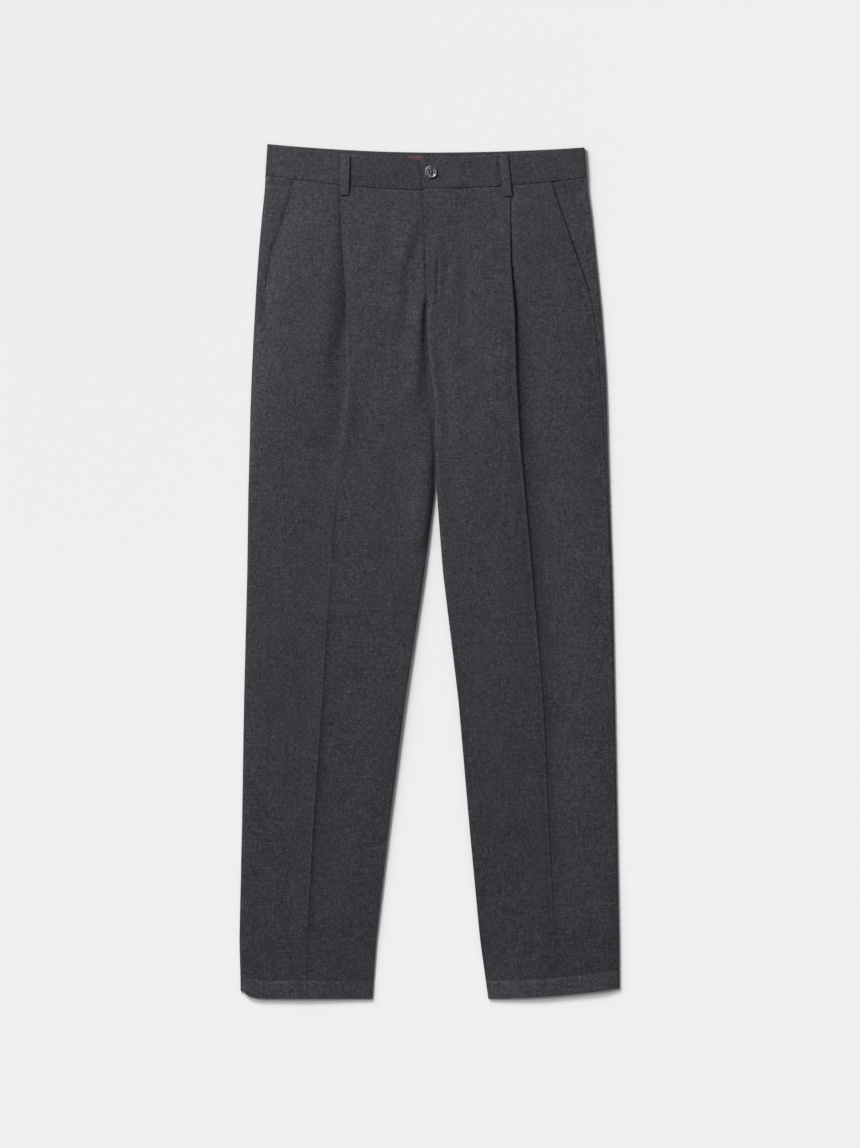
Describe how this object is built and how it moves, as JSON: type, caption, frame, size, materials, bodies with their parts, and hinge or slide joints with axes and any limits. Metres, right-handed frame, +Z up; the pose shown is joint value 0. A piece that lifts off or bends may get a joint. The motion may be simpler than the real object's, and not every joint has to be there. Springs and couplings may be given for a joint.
{
  "type": "pleated chino trousers laid flat",
  "caption": "Long pleated flannel trousers lying flat, front up, with slanted pockets, a fly, a buttoned waistband and belt loops.",
  "frame": {"origin": "on the surface the trousers lie on, under the middle of their bounding box", "axes": "+X towards the wearer's left leg, +Y from the hems to the waist, +Z up, out of the front"},
  "size_m": [0.476, 1.068, 0.0114],
  "materials": {
    "flannel": "brushed charcoal wool flannel",
    "label": "plain dark red woven tape",
    "button": "marbled grey horn, softly polished"
  },
  "bodies": {
    "root": {"front_right": "flannel", "front_left": "flannel", "back_right": "flannel", "back_left": "flannel", "pocket_facing_right": "flannel", "pocket_facing_left": "flannel", "fly_shield": "flannel", "waistband_right": "flannel", "waistband_left": "flannel", "belt_loop_front_right": "flannel", "belt_loop_front_left": "flannel", "belt_loop_back_right": "flannel", "belt_loop_back_left": "flannel", "belt_loop_back_centre": "flannel", "label": "label", "waist_button": "button"}
  },
  "joints": []
}
